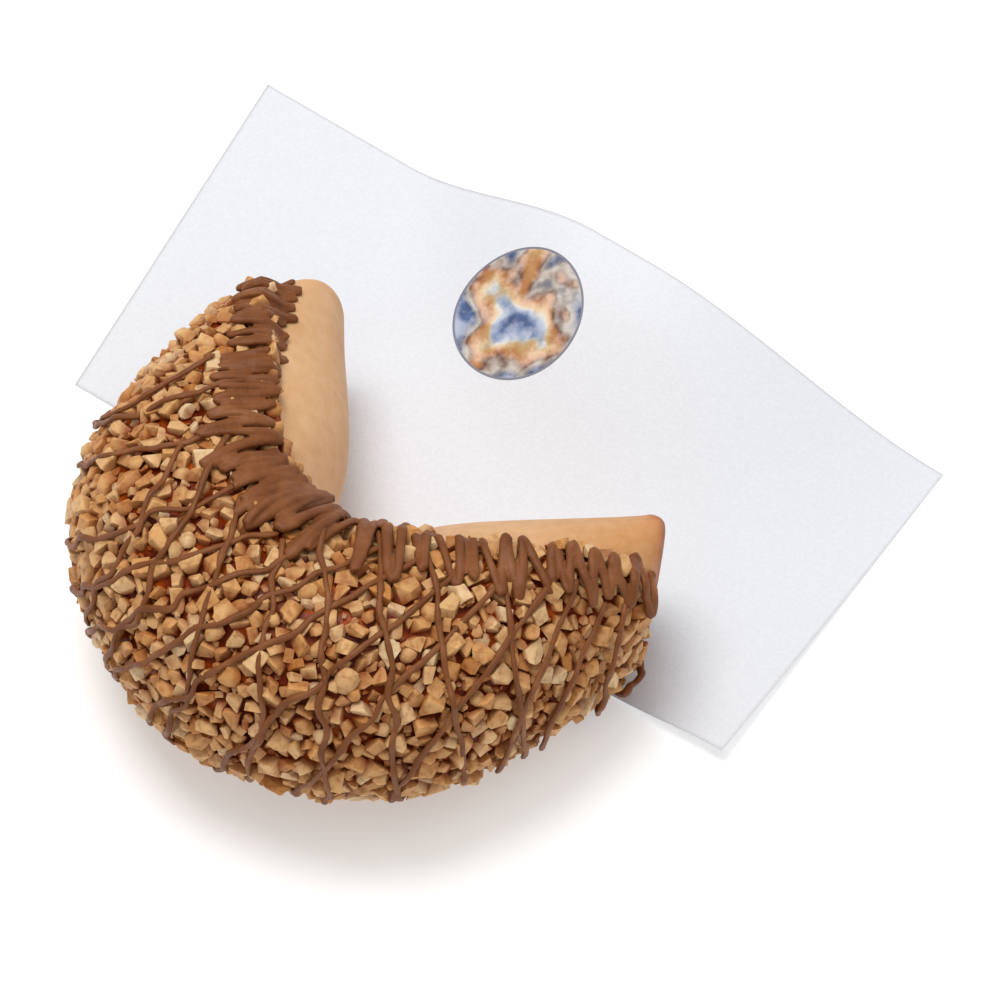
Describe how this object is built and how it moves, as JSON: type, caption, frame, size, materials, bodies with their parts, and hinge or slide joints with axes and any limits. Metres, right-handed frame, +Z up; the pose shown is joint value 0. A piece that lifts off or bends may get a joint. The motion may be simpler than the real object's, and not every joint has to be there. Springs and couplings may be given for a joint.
{
  "type": "fortune cookie",
  "caption": "Large folded fortune cookie, its convex side dipped in caramel and chopped peanuts, with piped milk chocolate, lying on its wavy fortune sheet.",
  "frame": {"origin": "on the surface the cookie lies on, below the centre of the whole part's box", "axes": "+Z up, +Y towards the far horn's end, +X towards the right horn's end"},
  "size_m": [0.2206, 0.2264, 0.0735],
  "materials": {
    "wafer": "baked biscuit, matt",
    "caramel_nut_coat": "caramel and chopped peanuts, glossy in places",
    "fortune_sheet": "smooth white paper"
  },
  "bodies": {
    "root": {"wafer": "wafer", "caramel_nut_coat": "caramel_nut_coat", "fortune_sheet": "fortune_sheet"}
  },
  "joints": []
}
